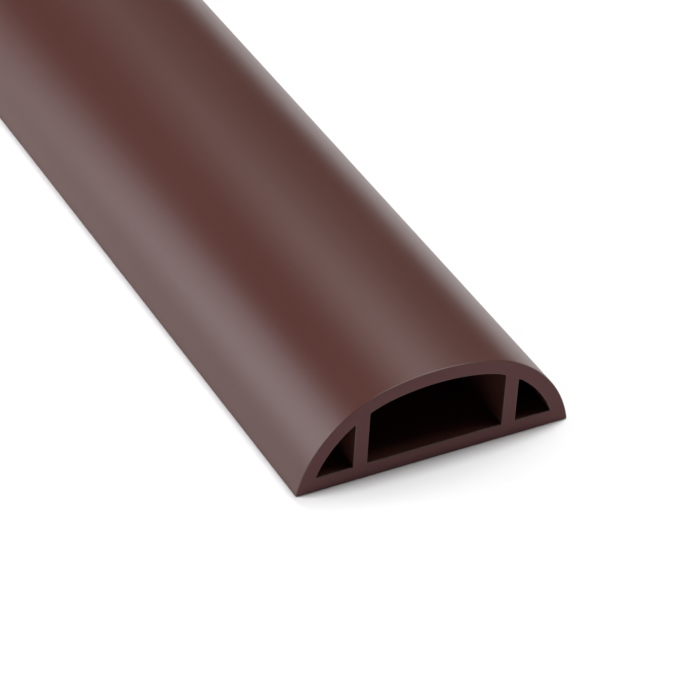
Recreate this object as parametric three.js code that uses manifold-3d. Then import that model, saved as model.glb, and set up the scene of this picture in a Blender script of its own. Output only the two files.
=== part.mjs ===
// Floor cord cover: one length of soft brown PVC, extruded as a low arch with a flat base.
// Two upright webs part its hollow into a wide middle channel under the crown and a small
// side channel in each flank.
// Millimetres. The length runs along Y, the width along X, and the underside lies on the
// plane z = 0, centred on the origin.

import * as THREE from 'three';
import { mergeVertices } from 'three/addons/utils/BufferGeometryUtils.js';
import Module from 'manifold-3d';

const wasm = await Module();
wasm.setup();

// Driving dimensions
const LENGTH = 1219;
const WIDTH = 50.8;
const HEIGHT = 18;
const CROWN_RADIUS = 41.5;
const FLANK_RADIUS = 21.7;
const SHELL_THICKNESS = 2.65;
const BASE_THICKNESS = 2.8;
const CHANNEL_WIDTH = 25;
const WEB_THICKNESS = 2.6;

// How finely each arc is cut into straight steps, and how far the hollow's cutter runs
// past each end of the cover
const ARC_STEPS = 12;
const CUTTER_OVERRUN = 5;

// The arch has a crown arc over the middle and a flank arc on each side. Each flank arc
// runs tangent into the crown arc and ends at an edge of the underside.
const foot = new THREE.Vector2(WIDTH / 2, 0);
const crownCentre = new THREE.Vector2(0, HEIGHT - CROWN_RADIUS);
const flankCentre = circleCrossing(crownCentre, CROWN_RADIUS - FLANK_RADIUS, foot, FLANK_RADIUS);
const jointAngle = flankCentre.clone().sub(crownCentre).angle();

// The higher of the two points where two circles cross
function circleCrossing(centreA, radiusA, centreB, radiusB) {
  const between = centreB.clone().sub(centreA);
  const distance = between.length();
  const along = (radiusA ** 2 - radiusB ** 2 + distance ** 2) / (2 * distance);
  const aside = Math.sqrt(radiusA ** 2 - along ** 2);
  const across = new THREE.Vector2(-between.y, between.x).normalize();
  return between.setLength(along).addScaledVector(across, aside).add(centreA);
}

// A section: the arch, set in from the outside by a thickness, above a flat line at a level z
function archSection(inset, level) {
  const crownRadius = CROWN_RADIUS - inset;
  const flankRadius = FLANK_RADIUS - inset;
  const endAngle = Math.asin((level - flankCentre.y) / flankRadius);
  const section = new THREE.Path();
  section.absarc(flankCentre.x, flankCentre.y, flankRadius, endAngle, jointAngle);
  section.absarc(crownCentre.x, crownCentre.y, crownRadius, jointAngle, Math.PI - jointAngle);
  section.absarc(-flankCentre.x, flankCentre.y, flankRadius, Math.PI - jointAngle, Math.PI - endAngle);
  return new THREE.Shape(section.getPoints(ARC_STEPS));
}

// A section pushed along Y, with its middle on the origin's plane
function bar(section, length) {
  const geometry = new THREE.ExtrudeGeometry(section, { depth: length, bevelEnabled: false });
  geometry.rotateX(Math.PI / 2);
  geometry.translate(0, length / 2, 0);
  return toSolid(geometry);
}

function toSolid(geometry) {
  geometry.deleteAttribute('normal');
  geometry.deleteAttribute('uv');
  const merged = mergeVertices(geometry);
  return new wasm.Manifold(new wasm.Mesh({
    numProp: 3,
    vertProperties: merged.getAttribute('position').array,
    triVerts: Uint32Array.from(merged.getIndex().array),
  }));
}

function toGeometry(solid) {
  const { vertProperties, triVerts } = solid.getMesh();
  const shared = new THREE.BufferGeometry();
  shared.setAttribute('position', new THREE.BufferAttribute(vertProperties, 3));
  shared.setIndex(new THREE.BufferAttribute(triVerts, 1));
  const geometry = shared.toNonIndexed();
  geometry.computeVertexNormals();
  return geometry;
}

// The hollow under the arch and over the base, less the two webs that stand in it
function hollow(length) {
  const web = new THREE.BoxGeometry(WEB_THICKNESS, length, HEIGHT);
  web.translate((CHANNEL_WIDTH + WEB_THICKNESS) / 2, 0, HEIGHT / 2);
  const rightWeb = toSolid(web);
  return bar(archSection(SHELL_THICKNESS, BASE_THICKNESS), length)
    .subtract(rightWeb)
    .subtract(rightWeb.mirror([1, 0, 0]));
}

const softBrownPvc = new THREE.MeshStandardMaterial({ color: 0x5a3a38, roughness: 0.42, metalness: 0 });

const cover = bar(archSection(0, 0), LENGTH).subtract(hollow(LENGTH + 2 * CUTTER_OVERRUN));
const cordCover = new THREE.Mesh(toGeometry(cover), softBrownPvc);
cordCover.name = 'cord_cover';

const floorCordCover = new THREE.Group();
floorCordCover.add(cordCover);

export default floorCordCover;
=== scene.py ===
from math import acos, asin, atan2, ceil, cos, pi, radians, sin

import bmesh
import bpy
from mathutils import Matrix, Vector, geometry


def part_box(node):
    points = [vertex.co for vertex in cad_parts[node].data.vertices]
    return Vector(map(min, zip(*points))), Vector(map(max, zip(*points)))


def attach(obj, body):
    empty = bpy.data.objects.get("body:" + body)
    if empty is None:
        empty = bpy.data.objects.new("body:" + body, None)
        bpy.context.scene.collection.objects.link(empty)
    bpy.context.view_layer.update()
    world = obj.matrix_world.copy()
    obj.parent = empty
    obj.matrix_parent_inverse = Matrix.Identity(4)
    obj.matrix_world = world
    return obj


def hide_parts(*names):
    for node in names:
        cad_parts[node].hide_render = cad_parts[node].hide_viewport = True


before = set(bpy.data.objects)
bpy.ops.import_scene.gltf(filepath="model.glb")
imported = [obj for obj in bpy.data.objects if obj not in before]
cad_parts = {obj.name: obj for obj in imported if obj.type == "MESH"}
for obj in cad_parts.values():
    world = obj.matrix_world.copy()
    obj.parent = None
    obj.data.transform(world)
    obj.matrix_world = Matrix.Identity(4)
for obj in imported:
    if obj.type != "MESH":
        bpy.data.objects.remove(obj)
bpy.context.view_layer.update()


# The cover: one length of soft brown PVC, pushed through a die as a low arch over a flat base.
# Two upright webs part its hollow into three channels that run from end to end. It is cut
# square at both ends with a blade, which leaves the edges there very slightly rounded.

low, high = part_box("cord_cover")
width, height = (high - low).xz
crown_radius = 0.0415
flank_radius = 0.0217
shell = 0.00265
base = 0.0028
channel_width = 0.025
web = 0.0026
arc_step = 0.0006
corner_rounding = 0.00025
cut_rounding = 0.0002
rounding_steps = 3
sharpest_bend_in_arc = radians(30)
skin_index, cut_index = 0, 1

# The straight length lies between these two planes, and the rounded cuts add the rest
front = low.y + cut_rounding
back = high.y - cut_rounding

# The crown arc and the flank arcs run smoothly into each other
foot = Vector((width / 2, 0))
crown_centre = Vector((0, height - crown_radius))
crossings = geometry.intersect_sphere_sphere_2d(
    crown_centre, crown_radius - flank_radius, foot, flank_radius)
flank_centre = max(crossings, key=lambda point: point.y)
joint_angle = atan2(flank_centre.y - crown_centre.y, flank_centre.x)


def corner(section, across, up):
    return section.verts.new((across, front, up))


def corner_on_arc(section, centre, radius, angle):
    return corner(section, centre.x + radius * cos(angle), centre.y + radius * sin(angle))


def sweep(section, start, centre, radius, turn):
    """Carries the line on round an arc, and returns the corner where it ends."""
    swept = bmesh.ops.spin(
        section, geom=[start], cent=(centre.x, front, centre.y), axis=(0, -1, 0),
        angle=turn, steps=ceil(radius * turn / arc_step), use_duplicate=False)
    return next(part for part in swept["geom_last"] if isinstance(part, bmesh.types.BMVert))


def arch(section, inset, first_angle):
    """Draws flank, crown and flank, set in from the outside, and returns its two end corners."""
    flank_turn = joint_angle - first_angle
    left_centre = Vector((-flank_centre.x, flank_centre.y))
    first = corner_on_arc(section, flank_centre, flank_radius - inset, first_angle)
    last = sweep(section, first, flank_centre, flank_radius - inset, flank_turn)
    last = sweep(section, last, crown_centre, crown_radius - inset, pi - 2 * joint_angle)
    last = sweep(section, last, left_centre, flank_radius - inset, flank_turn)
    return first, last


def close(section, *corners):
    """Joins the corners one after another with straight lines."""
    for one, other in zip(corners, corners[1:]):
        section.edges.new((one, other))


cover_mesh = bmesh.new()

# Outside of the arch, closed by the underside
foot_angle = asin(-flank_centre.y / flank_radius)
right_foot, left_foot = arch(cover_mesh, 0, foot_angle)
close(cover_mesh, left_foot, right_foot)

# Middle channel, between the webs
inner_radius = flank_radius - shell
middle_angle = acos((channel_width / 2 - flank_centre.x) / inner_radius)
right_top, left_top = arch(cover_mesh, shell, middle_angle)
left_bottom = corner(cover_mesh, -channel_width / 2, base)
right_bottom = corner(cover_mesh, channel_width / 2, base)
close(cover_mesh, left_top, left_bottom, right_bottom, right_top)

# Side channel in the right flank, and its mirror image in the left one
side_angle = asin((base - flank_centre.y) / inner_radius)
web_outside = channel_width / 2 + web
web_angle = acos((web_outside - flank_centre.x) / inner_radius)
drawn_before = set(cover_mesh.verts)
outer_corner = corner_on_arc(cover_mesh, flank_centre, inner_radius, side_angle)
top_corner = sweep(cover_mesh, outer_corner, flank_centre, inner_radius, web_angle - side_angle)
web_corner = corner(cover_mesh, web_outside, base)
close(cover_mesh, top_corner, web_corner, outer_corner)
side_corners = [v for v in cover_mesh.verts if v not in drawn_before]
side_lines = [e for e in cover_mesh.edges if e.verts[0] not in drawn_before]
bmesh.ops.mirror(
    cover_mesh, geom=side_corners + side_lines, matrix=Matrix(), merge_dist=-1, axis="X")

# The section drawn out to its length, with its long corners rounded
drawn = bmesh.ops.extrude_edge_only(cover_mesh, edges=cover_mesh.edges[:])
bmesh.ops.translate(
    cover_mesh, vec=(0, back - front, 0),
    verts=[part for part in drawn["geom"] if isinstance(part, bmesh.types.BMVert)])
long_corners = [
    e for e in cover_mesh.edges
    if len(e.link_faces) == 2 and e.calc_face_angle() > sharpest_bend_in_arc]
bmesh.ops.bevel(
    cover_mesh, geom=long_corners, offset=corner_rounding, offset_type="OFFSET",
    affect="EDGES", segments=rounding_steps, profile=0.5, material=-1)

# The two cut ends, each with its sharp edge taken off
for outward in (-1, 1):
    rim = [
        e for e in cover_mesh.edges
        if e.is_boundary and e.verts[0].co.y * outward > 0]
    filled = bmesh.ops.triangle_fill(
        cover_mesh, edges=rim, normal=(0, outward, 0), use_beauty=True)
    for part in filled["geom"]:
        if isinstance(part, bmesh.types.BMFace):
            part.material_index = cut_index
bmesh.ops.recalc_face_normals(cover_mesh, faces=cover_mesh.faces[:])
for outward in (-1, 1):
    cut = [
        f for f in cover_mesh.faces
        if f.material_index == cut_index and f.verts[0].co.y * outward > 0]
    for step in range(rounding_steps):
        turned = pi / 2 * step / rounding_steps
        next_turned = pi / 2 * (step + 1) / rounding_steps
        rounded = bmesh.ops.inset_region(
            cover_mesh, faces=cut, use_boundary=True, use_even_offset=True,
            thickness=cut_rounding * (cos(turned) - cos(next_turned)),
            depth=cut_rounding * (sin(next_turned) - sin(turned)))
        for face in rounded["faces"]:
            face.material_index = skin_index
for face in cover_mesh.faces:
    face.smooth = True

cover = bpy.data.objects.new("cover_length", bpy.data.meshes.new("cover_length"))
bpy.context.collection.objects.link(cover)
cover_mesh.to_mesh(cover.data)
cover_mesh.free()
even = cover.modifiers.new("even_shading", "WEIGHTED_NORMAL")
even.mode = "FACE_AREA"


class Wire:
    """What one shader node gives out. Arithmetic on it adds Math nodes to its material."""

    def __init__(self, socket):
        self.socket = socket

    def maths(self, operation, other):
        node = self.socket.id_data.nodes.new("ShaderNodeMath")
        node.operation = operation
        join(node.inputs[0], self)
        join(node.inputs[1], other)
        return Wire(node.outputs[0])

    def __add__(self, other):
        return self.maths("ADD", other)

    def __mul__(self, other):
        return self.maths("MULTIPLY", other)

    __radd__ = __add__
    __rmul__ = __mul__


def join(socket, term):
    """Links a socket to a wire, or sets it to a value."""
    if isinstance(term, Wire):
        socket.id_data.links.new(term.socket, socket)
    else:
        socket.default_value = term


def named(sockets, identifier):
    return next(socket for socket in sockets if socket.identifier == identifier)


class Finish:
    """A finish built up from shader nodes."""

    def __init__(self, name):
        self.material = bpy.data.materials.new(name)
        self.material.use_nodes = True
        self.material.node_tree.nodes.clear()

    def node(self, kind, inputs, settings=None, output=None):
        """Adds one node, its settings first, and returns the output that is asked for."""
        node = self.material.node_tree.nodes.new(kind)
        for name, value in (settings or {}).items():
            setattr(node, name, value)
        for name, term in inputs.items():
            join(named(node.inputs, name), term)
        return Wire(named(node.outputs, output)) if output else None

    def noise(self, per_metre, detail):
        """Soft noise in the piece's own frame, with so many features to the metre each way."""
        place = self.node("ShaderNodeTexCoord", {}, output="Object")
        stretched = self.node(
            "ShaderNodeMapping", {"Vector": place, "Scale": per_metre},
            {"vector_type": "POINT"}, "Vector")
        return self.node(
            "ShaderNodeTexNoise", {"Vector": stretched, "Scale": 1.0, "Detail": detail},
            output="Fac")

    def blend(self, share, one, other):
        """Mixes two colours, with this share of the second one."""
        return self.node(
            "ShaderNodeMix", {"Factor_Float": share, "A_Color": one, "B_Color": other},
            {"data_type": "RGBA", "clamp_factor": True}, "Result_Color")

    def paint(self, colour, roughness, relief, relief_depth, gloss):
        """Makes the surface, with its relief as deep as given, in metres."""
        bumped = self.node(
            "ShaderNodeBump", {"Strength": 1.0, "Distance": relief_depth, "Height": relief},
            output="Normal")
        surface = self.node("ShaderNodeBsdfPrincipled", {
            "Base Color": colour, "Roughness": roughness, "Normal": bumped,
            "Specular IOR Level": gloss}, output="BSDF")
        self.node("ShaderNodeOutputMaterial", {"Surface": surface})


# The skin as the die leaves it: satin, with faint flow lines along the length, a soft
# unevenness in the colour where the melt was less well mixed, and a fine grain.
skin_dark = (0.071, 0.0232, 0.018, 1)
skin_light = (0.079, 0.0262, 0.0206, 1)
skin_relief = 0.00002
skin = Finish("pvc_skin")
flow = skin.noise((900, 5, 900), 3)
cloud = skin.noise((70, 16, 70), 2)
grain = skin.noise((3800, 3800, 3800), 1)
skin.paint(
    colour=skin.blend(cloud * 0.7 + flow * 0.3, skin_dark, skin_light),
    roughness=0.31 + cloud * 0.05 + flow * 0.035,
    relief=flow * 0.6 + grain * 0.4,
    relief_depth=skin_relief,
    gloss=0.5)

# The cut faces: the same PVC opened by the blade, duller, with faint marks of its stroke.
cut_dark = (0.126, 0.0505, 0.051, 1)
cut_light = (0.142, 0.058, 0.059, 1)
cut_relief = 0.00005
cut_face = Finish("pvc_cut_face")
stroke = cut_face.noise((60, 900, 2600), 2)
pore = cut_face.noise((2400, 2400, 2400), 2)
cut_face.paint(
    colour=cut_face.blend(stroke * 0.5 + pore * 0.5, cut_dark, cut_light),
    roughness=0.62 + stroke * 0.1,
    relief=stroke * 0.7 + pore * 0.3,
    relief_depth=cut_relief,
    gloss=0.15)

cover.data.materials.append(skin.material)
cover.data.materials.append(cut_face.material)
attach(cover, "root")
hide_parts("cord_cover")


# The floor: a plain white sheet of matt board that the cover lies on. It isn't part of the
# object.
half_floor = 15
floor_white = (0.86, 0.86, 0.86, 1)
floor_whiter = (0.88, 0.88, 0.88, 1)
floor_relief = 0.00001
floor_mesh = bmesh.new()
bmesh.ops.create_grid(floor_mesh, x_segments=1, y_segments=1, size=half_floor)
floor = bpy.data.objects.new("floor", bpy.data.meshes.new("floor"))
bpy.context.collection.objects.link(floor)
floor_mesh.to_mesh(floor.data)
floor_mesh.free()
board = Finish("white_board")
mottle = board.noise((3, 3, 3), 2)
board.paint(
    colour=board.blend(mottle, floor_white, floor_whiter),
    roughness=0.9 + mottle * 0.05,
    relief=mottle,
    relief_depth=floor_relief,
    gloss=0.2)
floor.data.materials.append(board.material)


# The light: soft panels. A square one overhead and a wide one to its right light the floor.
# Two low ones on the left give the left flank its sheen, a small one behind on the right
# gives the crown its band, and one close over the floor brightens what the right edge mirrors.
def panel(name, place, aim, across, tall, brightness, colour=(1, 1, 1), beam=180):
    """An area light that faces a point, with one brightness all over and a beam in degrees."""
    light = bpy.data.lights.new(name, "AREA")
    light.shape = "RECTANGLE"
    light.size = across
    light.size_y = tall
    light.energy = brightness * pi * across * tall
    light.color = colour
    light.spread = radians(beam)
    lamp = bpy.data.objects.new(name, light)
    lamp.location = place
    lamp.rotation_euler = (Vector(aim) - Vector(place)).to_track_quat("-Z", "Y").to_euler()
    lamp.visible_camera = False
    bpy.context.collection.objects.link(lamp)


near_end = (0, -0.56, 0.01)
faint_violet = (0.98, 0.955, 1.0)
panel("overhead_panel", (0, 0, 6), near_end, across=1.2, tall=1.2, brightness=37.5)
panel("side_panel", (3, 0.28, 6), near_end, across=4.8, tall=1.24, brightness=12.6)
panel(
    "left_panel", (-0.567, -0.178, 0.237), near_end,
    across=0.5, tall=0.44, brightness=2.95, colour=faint_violet)
panel(
    "far_left_panel", (-2.4, 0.16, 1), near_end,
    across=1.8, tall=1.4, brightness=3.4, colour=faint_violet)
panel("crown_panel", (1.96, 2.97, 4.45), near_end, across=1.82, tall=0.68, brightness=6.9)
panel(
    "right_panel", (0.35, -0.25, 0.6), (0.35, -0.25, 0),
    across=0.4, tall=1.8, brightness=0.8, beam=60)

sky = bpy.data.worlds.new("studio")
sky.use_nodes = True
backdrop = sky.node_tree.nodes["Background"].inputs
backdrop["Color"].default_value = (1, 1, 1, 1)
backdrop["Strength"].default_value = 0.04
bpy.context.scene.world = sky
bpy.context.scene.view_settings.view_transform = "Standard"


# The camera looks down on the near end from its left, from about half a metre and through
# a long lens. It is tilted by a few degrees.
eye = Vector((-0.21958, -0.96014, 0.32928))
target = Vector((0.00078, -0.57467, 0))
tilt = radians(3.61)
lens = bpy.data.cameras.new("camera")
lens.sensor_width = 36
lens.lens = 171.32
lens.clip_start = 0.01
camera = bpy.data.objects.new("camera", lens)
camera.location = eye
facing = (target - eye).to_track_quat("-Z", "Y").to_matrix() @ Matrix.Rotation(tilt, 3, "Z")
camera.rotation_euler = facing.to_euler()
bpy.context.collection.objects.link(camera)
bpy.context.scene.camera = camera
